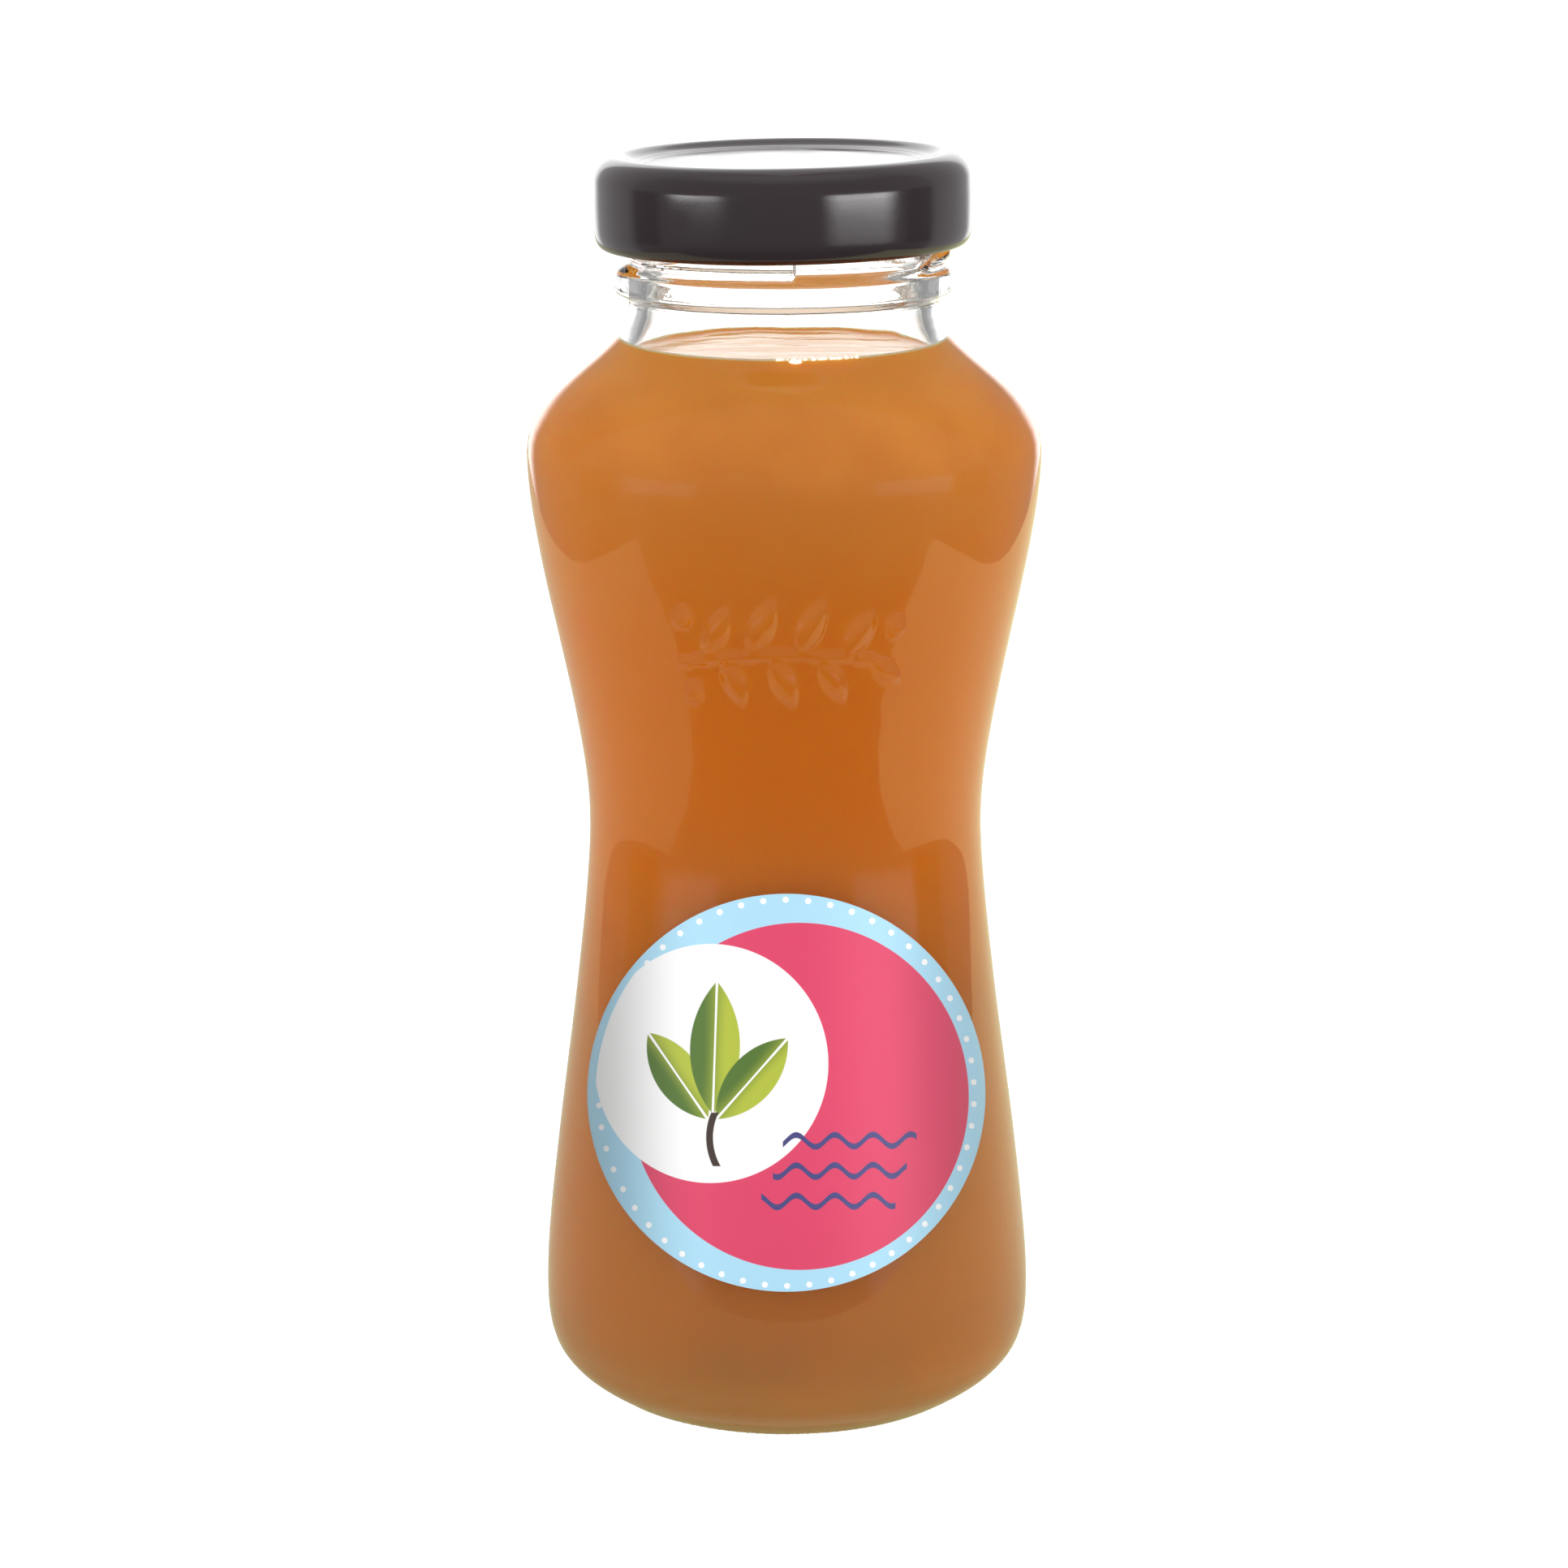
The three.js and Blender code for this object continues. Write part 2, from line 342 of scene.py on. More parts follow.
table_mesh = bpy.data.meshes.new("table")
table_mesh.from_pydata(
    [
        (-TABLE_HALF_WIDTH, TABLE_FRONT, 0),
        (TABLE_HALF_WIDTH, TABLE_FRONT, 0),
        (TABLE_HALF_WIDTH, TABLE_BACK, 0),
        (-TABLE_HALF_WIDTH, TABLE_BACK, 0),
    ],
    [],
    [(0, 1, 2, 3)],
)
table = placed("table", table_mesh)
table_top, wires, shader = new_material("table_top")
ray = wires.node("ShaderNodeLightPath").outputs
sideways = wires.parts(wires.place())[0]
glow = wires.ramp(sideways, *GLOSS_PLACES, *GLOW_IN_GLOSS)
for kind, level in (
    (ray["Is Camera Ray"], GLOW_TO_CAMERA),
    (ray["Is Transmission Ray"], GLOW_THROUGH_GLASS),
    (wires.math("MINIMUM", ray["Diffuse Depth"], 1.0), GLOW_TO_MATT),
):
    glow = wires.math("MAXIMUM", glow, wires.times(kind, level))
first_bounce = wires.math("LESS_THAN", ray["Ray Depth"], 1.5)
first_glance = wires.times(ray["Is Glossy Ray"], first_bounce)
wires.feed(shader, {
    "Base Color": (TABLE_PAINT, TABLE_PAINT, TABLE_PAINT, 1),
    "Roughness": 1.0,
    "Specular IOR Level": 0.0,
    "Emission Color": wires.mix(first_glance, (1, 1, 1, 1), GLOSS_TINT),
    "Emission Strength": glow,
})
table_mesh.materials.append(table_top)
table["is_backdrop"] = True
print("table from", TABLE_FRONT, "to", TABLE_BACK, "m")

# %% [markdown]
# Picture settings.
# The Standard view keeps white white, as in a catalogue picture. Light passes the glass, the juice and
# the glass again, so more bounces than usual are allowed, and single bright sparks are held down.

# %% Picture settings
scene = bpy.context.scene
scene.view_settings.view_transform = "Standard"
scene.cycles.use_denoising = True
scene.cycles.max_bounces = 20
scene.cycles.transmission_bounces = 16
scene.cycles.glossy_bounces = 8
scene.cycles.diffuse_bounces = 4
scene.cycles.sample_clamp_indirect = 6
print("view transform", scene.view_settings.view_transform)

# %% [markdown]
# The bottle's outline.
# A pressed and blown bottle is round, so one outline says it all. The wall stands upright at the belly,
# the waist, the shoulder and the neck, and one smooth curve runs from each to the next. The numbers are
# millimetres: the radius and the height of each such place, and how far a curve keeps upright there.
# They are the same as in the CAD model, and the last lines of the cell print both widths. The inside
# follows at the wall's thickness. Blown glass thins where it is stretched most, so the wall is thinner
# in the shoulder's slope: how much, at what height and how far up and down.

# %% Outline of the bottle
MM = 0.001
BELLY = (30.4, 12.0)
WAIST = (24.2, 72.4)
SHOULDER = (31.2, 117.9)
NECK = (18.65, 135.7)
BELLY_TO_WAIST = (13.6, 13.9)
WAIST_TO_SHOULDER = (13.4, 12.0)
SHOULDER_TO_NECK = (8.7, 6.3)
FOOT_RADIUS = 23.5
FOOT_INNER_RADIUS = 21.0
FOOT_LIFT = 0.09
PUSH_UP = 2.6
WALL = 2.4
THIN_PLACE = (1.1, 123.5, 5.5)
FLOOR = ((0.0, 5.6), (20.0, 3.4))
FINISH_RADIUS = 18.6
MOUTH_TOP = 152.1
LIP_ROUNDING = 0.9


def bend(start, start_handle, end_handle, end, steps=60):
    """Points of a smooth curve, given by its two handles. The first point is left out."""
    t = np.linspace(0, 1, steps + 1)[1:, None]
    a, b, c, d = (np.array(p, float) for p in (start, start_handle, end_handle, end))
    return (1 - t) ** 3 * a + 3 * (1 - t) ** 2 * t * b + 3 * (1 - t) * t**2 * c + t**3 * d


def upright(lower, upper, reach_above, reach_below, steps=200):
    """A curve between two places where the wall stands upright."""
    return bend(
        lower,
        (lower[0], lower[1] + reach_above),
        (upper[0], upper[1] - reach_below),
        upper,
        steps,
    )


def soften(corners, reach, steps=5):
    """A polyline whose inner corners are rounded off, starting at a given reach from each."""
    corners = [np.array(c, float) for c in corners]
    points = [corners[0]]
    for before, corner, after in zip(corners, corners[1:], corners[2:]):
        start = corner + (before - corner) * min(0.45, reach / np.linalg.norm(before - corner))
        end = corner + (after - corner) * min(0.45, reach / np.linalg.norm(after - corner))
        points.append(start)
        points.extend(bend(start, (start + 2 * corner) / 3, (end + 2 * corner) / 3, end, steps))
    points.append(corners[-1])
    return np.array(points)


def offset(points, distance):
    """The same outline moved away from the axis, square to itself at each point."""
    along = np.gradient(points, axis=0)
    along /= np.linalg.norm(along, axis=1)[:, None]
    return points + distance * np.column_stack((along[:, 1], -along[:, 0]))


wall = np.vstack([
    [BELLY],
    upright(BELLY, WAIST, *BELLY_TO_WAIST),
    upright(WAIST, SHOULDER, *WAIST_TO_SHOULDER),
    upright(SHOULDER, NECK, *SHOULDER_TO_NECK),
])
thinner, thin_height, thin_reach = THIN_PLACE
thickness = WALL - thinner * np.exp(-((wall[:, 1] - thin_height) / thin_reach) ** 2)
inside = offset(wall, -thickness[:, None])


def wall_radius(height):
    """Radius of the bottle's outer wall at a height."""
    return np.interp(height, wall[:, 1], wall[:, 0])


def inside_radius(height):
    """Radius of the bottle's inner wall at a height."""
    return np.interp(height, inside[:, 1], inside[:, 0])


_, glass_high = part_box("glass_bottle")
print("widest radius", wall[:, 0].max(), "mm, CAD", round(glass_high.x / MM, 2), "mm")

# %% [markdown]
# Turning an outline into a mesh.
# Blender's Screw modifier or its Spin tool could turn the outline. Here the points are worked out
# directly, because the columns can then stand closer where the glass carries fine relief, and each
# point can be pushed in or out by a rule before the mesh exists. Both ends of the outline lie on the
# axis, and each becomes one single point, so the skin is closed.


# %% Lathe
def thinned(points, spacing):
    """Leaves out points that are closer to the last kept one than the spacing at their height."""
    kept = [points[0]]
    for point in points[1:-1]:
        if np.linalg.norm(point - kept[-1]) >= spacing(point[1]):
            kept.append(point)
    kept.append(points[-1])
    return np.array(kept)


def turned(name, outline, angles, push=None):
    """A closed mesh of revolution. Angles are in degrees from the front, to the right.

    The outline runs from the axis to the axis, counter-clockwise seen with the radius to the right.
    push(angle, radius, height, normal) gives how far a point moves along its own normal.
    """
    outline = np.asarray(outline, float)
    along = np.gradient(outline, axis=0)
    along /= np.linalg.norm(along, axis=1)[:, None]
    normals = np.column_stack((along[:, 1], -along[:, 0]))
    turns = np.radians(angles)
    verts = [(0, 0, outline[0][1])]
    for (radius, height), normal in zip(outline[1:-1], normals[1:-1]):
        out = np.zeros(len(turns))
        if push is not None:
            out = push(angles, radius, height, normal)
        r = radius + out * normal[0]
        z = height + out * normal[1]
        verts.extend(zip(r * np.sin(turns), -r * np.cos(turns), z))
    verts.append((0, 0, outline[-1][1]))
    count = len(turns)
    last = len(verts) - 1
    rows = len(outline) - 2
    faces = []
    for j in range(count):
        k = (j + 1) % count
        faces.append((0, 1 + k, 1 + j))
        faces.append((last, last - count + j, last - count + k))
        for i in range(rows - 1):
            a = 1 + i * count
            b = a + count
            faces.append((a + j, a + k, b + k, b + j))
    mesh = bpy.data.meshes.new(name)
    mesh.from_pydata([Vector(v) * MM for v in verts], [], faces)
    mesh.polygons.foreach_set("use_smooth", [True] * len(mesh.polygons))
    mesh.update()
    return placed(name, mesh)


print("lathe ready")

# %% [markdown]
# Relief on the glass.
# The mould leaves three low lands of thread under the lid, each level below and climbing above, with a
# blunt right end. A small sprig of leaves and berries stands out of the front, above the waist, as
# bottle makers press into their moulds. Real glass is never quite even, so a slow wave runs over both
# faces of the wall. All of it is worked out as a height for each point of the skin.

# %% Relief rules
THREAD_COUNT = 3
THREAD_RADIUS = 20.1
THREAD_FOOT = 140.45
THREAD_LEAD = 0.6
THREAD_RISE = 4.6
THREAD_END = 4.5
THREAD_SWEEP = 66.0
JUICE_LEVEL = 129.95

SPRIG_HEIGHT = 98.6
SPRIG_RELIEF = 0.95
SPRIG_STEM = ((0.0, -60.0), 59.6, 0.5, (-12.5, 10.5))
SPRIG_LEAVES = [
    ((-9.5, -1.0), (-6.6, 5.2), 1.5),
    ((-4.2, -0.4), (-1.2, 6.4), 1.6),
    ((1.4, -0.4), (4.6, 6.2), 1.6),
    ((6.8, -0.9), (10.6, 4.6), 1.5),
    ((-7.2, -1.0), (-4.6, -6.6), 1.4),
    ((-1.6, -0.6), (1.2, -6.8), 1.5),
    ((4.0, -0.8), (7.0, -6.2), 1.4),
    ((10.0, -1.4), (14.2, -4.4), 1.2),
]
SPRIG_BERRIES = [((-12.2, 3.8), 1.3), ((13.2, 2.6), 1.3), ((-10.8, -5.2), 1.3)]


def step(value, low, high):
    """Smooth rise from 0 to 1 between low and high."""
    t = np.clip((value - low) / (high - low), 0, 1)
    return t * t * (3 - 2 * t)


def leaf_rounds(base, tip, half_width):
    """A leaf is where two equal circles overlap. Gives their centres and their radius."""
    base, tip = np.array(base, float), np.array(tip, float)
    chord = tip - base
    length = np.linalg.norm(chord)
    radius = (length**2 / 4 + half_width**2) / (2 * half_width)
    side = np.array((-chord[1], chord[0])) / length * (radius - half_width)
    middle = (base + tip) / 2
    return middle + side, middle - side, radius


def sprig(x, y):
    """Height of the sprig's relief, as a share, at points of its flat drawing."""
    (stem_x, stem_y), stem_radius, stem_half, (stem_left, stem_right) = SPRIG_STEM
    from_stem = np.abs(np.hypot(x - stem_x, y - stem_y) - stem_radius)
    height = np.sqrt(np.clip(1 - (from_stem / stem_half) ** 2, 0, 1)) * 0.7
    height = height * step(x, stem_left - 0.5, stem_left) * (1 - step(x, stem_right, stem_right + 0.5))
    for base, tip, half_width in SPRIG_LEAVES:
        one, other, radius = leaf_rounds(base, tip, half_width)
        far = np.maximum(np.hypot(x - one[0], y - one[1]), np.hypot(x - other[0], y - other[1]))
        height = np.maximum(height, np.sqrt(np.clip((radius - far) / half_width, 0, 1)))
    for (berry_x, berry_y), berry_radius in SPRIG_BERRIES:
        near = np.hypot(x - berry_x, y - berry_y) / berry_radius
        height = np.maximum(height, 1.6 * np.sqrt(np.clip(1 - near**2, 0, 1)))
    return height


def thread(angle, height, radius):
    """How far the thread's lands stand out of the mouth."""
    out = np.zeros(len(angle))
    for k in range(THREAD_COUNT):
        back = (THREAD_END + 360 * k / THREAD_COUNT - angle + 180) % 360 - 180
        share = 1 - np.clip(back / THREAD_SWEEP, 0, 1)
        top = THREAD_FOOT + THREAD_LEAD + THREAD_RISE * share
        across = step(back, 0, 1.3) * (1 - step(back, THREAD_SWEEP - 3, THREAD_SWEEP))
        upward = step(height, THREAD_FOOT - 0.3, THREAD_FOOT + 0.5) * (1 - step(height, top - 0.4, top))
        out = np.maximum(out, across * upward)
    return out * np.maximum(THREAD_RADIUS - radius, 0)


def wave(angle, radius, height, size, seed):
    """Slow unevenness, from about minus 1 to 1."""
    turns = np.radians(angle)
    spots = zip(radius * np.sin(turns) / size, radius * np.cos(turns) / size)
    return np.array([noise.noise(Vector((x + seed, y, height / size))) for x, y in spots])


def glass_push(angle, radius, height, normal):
    """Relief and unevenness for one row of the bottle's skin."""
    outer = normal[0] > 0.3
    if outer:
        out = 0.05 * wave(angle, radius, height, 14.0, 3.0) - 0.03
        out = out + 0.012 * wave(angle, radius, height, 4.0, 11.0)
        if height > THREAD_FOOT - 0.2:
            out = out + thread(angle, height, radius)
        if abs(height - SPRIG_HEIGHT) < 10:
            x = radius * np.radians((angle + 180) % 360 - 180)
            out = out + SPRIG_RELIEF * sprig(x, height - SPRIG_HEIGHT)
        return out
    above = step(height, JUICE_LEVEL, JUICE_LEVEL + 3)
    return (0.04 + 0.05 * above) * wave(angle, radius, height, 6.0, 23.0)


print("sprig of", len(SPRIG_LEAVES), "leaves,", THREAD_COUNT, "lands of thread")

# %% [markdown]
# The glass.
# One closed skin runs up the outside, over the lip and down the inside to the thick floor. Rows and
# columns stand a quarter of a millimetre apart at the sprig and the thread, and wider elsewhere. The
# bead below the lid and the lip have their corners rounded, as hot glass always leaves them.

# %% Glass skin
BEAD = [
    (18.66, 136.2), (18.8, 136.7), (20.2, 137.3), (20.35, 137.6), (20.35, 139.75),
    (19.95, 140.15), (18.7, 140.95), (18.6, 141.6),
]


def glass_spacing(height):
    """How far apart the rows of the skin stand, in mm."""
    if abs(height - SPRIG_HEIGHT) < 8.8:
        return 0.28
    if 136.0 < height < 144.5:
        return 0.16
    if height < 6:
        return 0.5
    return 1.5


heel = bend((FOOT_RADIUS, FOOT_LIFT), (29.5, 3.6), (30.4, 5.8), BELLY)
underside = bend((0, PUSH_UP), (10.5, PUSH_UP), (18.9, 1.8), (FOOT_INNER_RADIUS, FOOT_LIFT))
lip = soften(
    [
        (FINISH_RADIUS, 144.6), (FINISH_RADIUS, MOUTH_TOP), (inside[-1][0], MOUTH_TOP),
        (inside[-1][0], 144.6),
    ],
    LIP_ROUNDING,
    steps=6,
)
bead = soften(BEAD, 0.35)
mouth_wall = np.column_stack((np.full(60, FINISH_RADIUS), np.linspace(141.7, 144.5, 60)))
corner = bend(FLOOR[1], (25.5, 3.4), (28.0, 6.5), inside[0], 30)
outside_rows = thinned(
    np.vstack([[(0, PUSH_UP)], underside, heel, wall[1:-1], bead, mouth_wall]), glass_spacing
)
inside_rows = thinned(
    np.vstack([inside[::-1], corner[::-1][1:], [FLOOR[1]], [(10, 4.5)], [FLOOR[0]]]), lambda z: 1.5
)
glass_outline = np.vstack([outside_rows, lip, inside_rows])

fine_front = np.arange(-33, 33, 0.5)
coarse = np.arange(0, 360, 2.5)
fine_ends = [THREAD_END + 360 / THREAD_COUNT * k + np.arange(-2.4, 1.2, 0.4) for k in range(1, THREAD_COUNT)]
columns = np.unique(np.round(np.concatenate([fine_front, coarse, *fine_ends]) % 360, 2))
keep = np.concatenate([[True], np.diff(columns) > 0.2])
columns = columns[keep]

glass = turned("bottle_glass", glass_outline, columns, glass_push)
print("glass has", len(glass.data.vertices), "points in", len(glass_outline), "rows")

# %% [markdown]
# Knurls under the foot.
# A bottle stands on a ring of small ridges, which keeps the hot glass off the belt. They repeat, so
# Geometry Nodes set them out: a circle of points, one ridge on each, turned outwards. The ridges are
# then fused with the skin by a union, because two skins of glass in one place would bend light twice.


# %% Geometry Nodes helpers
def node_tree(name, inputs):
    """An empty Geometry Nodes tree with named inputs, given as name: (socket type, value)."""
    tree = bpy.data.node_groups.new(name, "GeometryNodeTree")
    for label, (kind, value) in inputs.items():
        socket = tree.interface.new_socket(label, in_out="INPUT", socket_type=kind)
        if value is not None:
            socket.default_value = value
    tree.interface.new_socket("Geometry", in_out="OUTPUT", socket_type="NodeSocketGeometry")
    wires = Wires(tree)
    given = tree.nodes.new("NodeGroupInput").outputs
    return tree, wires, given


def finished(wires, geometry, material_socket):
    """Ends a tree: smooth, real geometry with its material."""
    smooth = wires.node("GeometryNodeSetShadeSmooth", {"Geometry": geometry})
    real = wires.node("GeometryNodeRealizeInstances", {"Geometry": smooth.outputs[0]})
    dressed = wires.node(
        "GeometryNodeSetMaterial", {"Geometry": real.outputs[0], "Material": material_socket}
    )
    end = wires.tree.nodes.new("NodeGroupOutput")
    wires.plug(dressed.outputs[0], end.inputs[0])


def final_mesh(source):
    """A new mesh with the shape that an object has after its modifiers."""
    graph = bpy.context.evaluated_depsgraph_get()
    return bpy.data.meshes.new_from_object(source.evaluated_get(graph), depsgraph=graph)


def grown(name, tree, values):
    """Runs a tree on an empty mesh and returns the result as a plain mesh object."""
    seed = placed(name + "_seed", bpy.data.meshes.new(name + "_seed"))
    modifier = seed.modifiers.new("grow", "NODES")
    modifier.node_group = tree
    for item in tree.interface.items_tree:
        if item.in_out == "INPUT" and item.name in values:
            modifier[item.identifier] = values[item.name]
    mesh = final_mesh(seed)
    mesh.name = name
    bpy.data.objects.remove(seed)
    return placed(name, mesh)


print("tree helpers ready")

# %% Knurls
KNURL_COUNT = 120
KNURL_RING = 22.3
KNURL_SIZE = (0.32, 1.3, 0.12)

knurl_tree, wires, given = node_tree("knurl_ring", {
    "Count": ("NodeSocketInt", KNURL_COUNT),
    "Ring Radius": ("NodeSocketFloat", KNURL_RING * MM),
    "Ridge Size": ("NodeSocketVector", [s * MM for s in KNURL_SIZE]),
    "Height": ("NodeSocketFloat", KNURL_SIZE[2] * MM),
    "Material": ("NodeSocketMaterial", None),
})
ring = wires.node("GeometryNodeMeshCircle", {"Vertices": given["Count"], "Radius": given["Ring Radius"]})
ridge = wires.node("GeometryNodeMeshUVSphere", {"Segments": 10, "Rings": 6, "Radius": 1.0})
turn_out = wires.node(
    "FunctionNodeAlignRotationToVector",
    {"Vector": wires.node("GeometryNodeInputPosition").outputs[0]},
    axis="Y",
    pivot_axis="Z",
)
ridges = wires.node("GeometryNodeInstanceOnPoints", {
    "Points": ring.outputs[0],
    "Instance": ridge.outputs[0],
    "Rotation": turn_out.outputs[0],
    "Scale": given["Ridge Size"],
})
lift = wires.node("ShaderNodeCombineXYZ", {"Z": given["Height"]})
lifted = wires.node("GeometryNodeTranslateInstances", {
    "Instances": ridges.outputs[0],
    "Translation": lift.outputs[0],
    "Local Space": False,
})
finished(wires, lifted.outputs[0], given["Material"])
knurls = grown("knurls", knurl_tree, {})
union = glass.modifiers.new("fuse", "BOOLEAN")
union.operation = "UNION"
union.solver = "MANIFOLD"
union.object = knurls
fused = final_mesh(glass)
glass.modifiers.remove(union)
glass.data = fused
bpy.data.objects.remove(knurls)
print("fused glass has", len(glass.data.polygons), "faces")

# %% [markdown]
# Clear glass.
# The Principled shader turns into glass with full transmission. The colour stays almost white, with a
# touch of green. Fire-polished glass is smooth, so the roughness is near nothing. The fine mottle that
# a mould leaves is a faint bump, strongest on the bead and the mouth, where no juice lies behind it.

# %% Glass finish
MOTTLE_FROM = (134.5, 137.5)
MOTTLE_BELOW = 0.15

clear_glass, wires, shader = new_material("clear_glass")
place = wires.place()
mottle = wires.noise(place, scale=900.0, detail=2.0)
ripple = wires.noise(place, scale=260.0, detail=1.0)
low, high = MOTTLE_FROM
moulded = wires.ramp(wires.parts(place)[2], low * MM, high * MM, MOTTLE_BELOW, 1.0)
bumps = wires.times(wires.plus(mottle, wires.times(ripple, 2.0)), moulded)
wires.feed(shader, {
    "Base Color": (0.985, 0.995, 0.985, 1),
    "Roughness": 0.0,
    "IOR": 1.5,
    "Transmission Weight": 1.0,
    "Normal": wires.bump(strength=0.4, distance=0.00004, height=bumps),
})
glass.data.materials.clear()
glass.data.materials.append(clear_glass)
print("glass finish", len(clear_glass.node_tree.nodes), "nodes")

# %% [markdown]
# The juice.
# The juice fills the glass up to its level, and its skin climbs a little where it meets the wall. It
# reaches a tenth of a millimetre into the wall: with a gap, or with two skins in one place, the glass
# would show a layer of air. It is turned from the same outline as the inside of the bottle.

# %% Juice mesh
INTO_WALL = 0.1
MENISCUS_HEIGHT = 0.9
MENISCUS_REACH = 1.1

side = np.vstack([[FLOOR[0]], [(10, 4.5)], [FLOOR[1]], corner, inside[1:]])
side = offset(side, INTO_WALL)
side[0] = (0, FLOOR[0][1] - INTO_WALL)
contact = JUICE_LEVEL + MENISCUS_HEIGHT
side = thinned(side[side[:, 1] < contact], lambda z: 0.4 if z > 128 else 1.4)
edge_radius = float(inside_radius(contact)) + INTO_WALL
surface_radii = edge_radius - np.concatenate([[0], np.geomspace(0.12, edge_radius - 1.5, 26)])
climb = MENISCUS_HEIGHT * np.exp(-(edge_radius - surface_radii) / MENISCUS_REACH)
surface = np.column_stack((surface_radii, JUICE_LEVEL + climb))
juice_outline = np.vstack([side[:-1], surface, [(0, JUICE_LEVEL)]])
juice = turned("juice_fill", juice_outline, np.arange(0, 360, 2.5))
print("juice up to", round(contact, 2), "mm on the wall, radius", round(edge_radius, 2))

# %% [markdown]
# Cloudy juice.
# Fine pulp scatters the light inside the juice, so it glows towards its edges and stays deep in the
# middle. Subsurface scattering does this: red light travels far in it, green less and blue hardly. The
# colour changes with height, each change given by the heights in mm where it begins and ends: it is
# browner and darker low down as painted shade, and lighter near the top as painted light from above.
# A faint large noise keeps it from being even. The thin edge that climbs the glass is painted almost
# cream, as a painted highlight, and the top is glossy, with a few long slow swells.

# %% Juice finish
# The darker, browner colours low down are painted shade, and the lighter ones near the top are painted light.
JUICE_SHADED_BOTTOM = paint(176, 118, 54)
JUICE_TONES_AND_PAINTED_LIGHT = [
    (2, 20, paint(202, 124, 46)),
    (45, 78, paint(230, 136, 20)),
    (95, 120, paint(228, 149, 48)),
    (119, 130, paint(242, 166, 62)),
]
JUICE_EDGE_HIGHLIGHT = paint(252, 226, 190)
JUICE_EDGE_HIGHLIGHT_BELOW = (0.32, 0.12)
CLOUD_SWING = 0.02
GLOW_REACH = 0.007
SHINE_AT_SIDE, SHINE_ON_TOP = 0.1, 0.24

cloudy_juice, wires, shader = new_material("cloudy_juice")
place = wires.place()
height = wires.parts(place)[2]
cloud = wires.noise(place, scale=60.0, detail=2.0)
level = wires.plus(height, wires.times(wires.minus(cloud, 0.5), CLOUD_SWING))
colour = JUICE_SHADED_BOTTOM
for low, high, higher_colour in JUICE_TONES_AND_PAINTED_LIGHT:
    colour = wires.mix(wires.ramp(level, low * MM, high * MM), colour, higher_colour)
# The thin edge on the glass is painted cream: a painted highlight.
low, high = JUICE_EDGE_HIGHLIGHT_BELOW
painted_edge_highlight = wires.ramp(height, (contact - low) * MM, (contact - high) * MM)
colour = wires.mix(painted_edge_highlight, colour, JUICE_EDGE_HIGHLIGHT)
top_face = wires.ramp(wires.facing_up(), 0.9, 0.99)
long_place = wires.node("ShaderNodeMapping", {"Vector": place, "Scale": (0.25, 0.8, 1.0)}).outputs[0]
swell = wires.noise(long_place, scale=170.0, detail=3.0)
shader.subsurface_method = "RANDOM_WALK"
wires.feed(shader, {
    "Base Color": colour,
    "Subsurface Weight": 1.0,
    "Subsurface Radius": (1.0, 0.45, 0.2),
    "Subsurface Scale": GLOW_REACH,
    "Roughness": 0.05,
    "IOR": 1.34,
    "Specular IOR Level": wires.ramp(top_face, 0.0, 1.0, SHINE_AT_SIDE, SHINE_ON_TOP),
    "Normal": wires.bump(strength=wires.times(top_face, 0.6), distance=0.0006, height=swell),
})
juice.data.materials.append(cloudy_juice)
print("juice finish", len(cloudy_juice.node_tree.nodes), "nodes")

# %% [markdown]
# Bubbles on the juice.
# A string of tiny bubbles clings to the glass where the juice ends, with a larger one among them. A
# rule with a fixed seed sets them out: points along an arc, each with a small sphere of a random size.
# They reach a little into the wall, so that the juice doesn't hide them. A bubble shows the light of
# the whole backdrop, so its film is painted pale, as a painted reflection, and glows a little as painted
# light.

# %% Bubbles
BUBBLE_ARC = (-3.0, 27.0)
BUBBLE_COUNT = 22
BUBBLE_SIZES = (0.15, 0.3)
BIG_BUBBLE_ANGLE, BIG_BUBBLE_SIZE = 3.6, 0.85
BIG_BUBBLE_FLATNESS = (1.0, 0.5, 0.5)
INTO_GLASS = 0.15
STRING_BELOW, BIG_BELOW = 0.15, 0.45
FILM_PAINTED_REFLECTION = (1.0, 0.93, 0.85, 1)
FILM_PAINTED_GLOW = 0.7

bubble_tree, wires, given = node_tree("bubble_string", {
    "Count": ("NodeSocketInt", BUBBLE_COUNT),
    "Ring Radius": ("NodeSocketFloat", edge_radius * MM),
    "Height": ("NodeSocketFloat", contact * MM),
    "Start": ("NodeSocketFloat", BUBBLE_ARC[0]),
    "End": ("NodeSocketFloat", BUBBLE_ARC[1]),
    "Smallest": ("NodeSocketFloat", BUBBLE_SIZES[0] * MM),
    "Largest": ("NodeSocketFloat", BUBBLE_SIZES[1] * MM),
    "Flatness": ("NodeSocketVector", (1.0, 1.0, 1.0)),
    "Seed": ("NodeSocketInt", 7),
    "Material": ("NodeSocketMaterial", None),
})
number = wires.node("GeometryNodeInputIndex").outputs[0]
jitter = wires.node("FunctionNodeRandomValue", {2: -0.4, 3: 0.4, "Seed": given["Seed"]}).outputs[1]
share = wires.math("DIVIDE", wires.plus(wires.plus(number, 0.5), jitter), given["Count"])
sweep = wires.minus(given["End"], given["Start"])
angle = wires.math("RADIANS", wires.plus(given["Start"], wires.times(share, sweep)))
x = wires.times(given["Ring Radius"], wires.math("SINE", angle))
y = wires.times(given["Ring Radius"], wires.times(wires.math("COSINE", angle), -1.0))
spot = wires.node("ShaderNodeCombineXYZ", {"X": x, "Y": y, "Z": given["Height"]}).outputs[0]
points = wires.node("GeometryNodePoints", {"Count": given["Count"], "Position": spot})
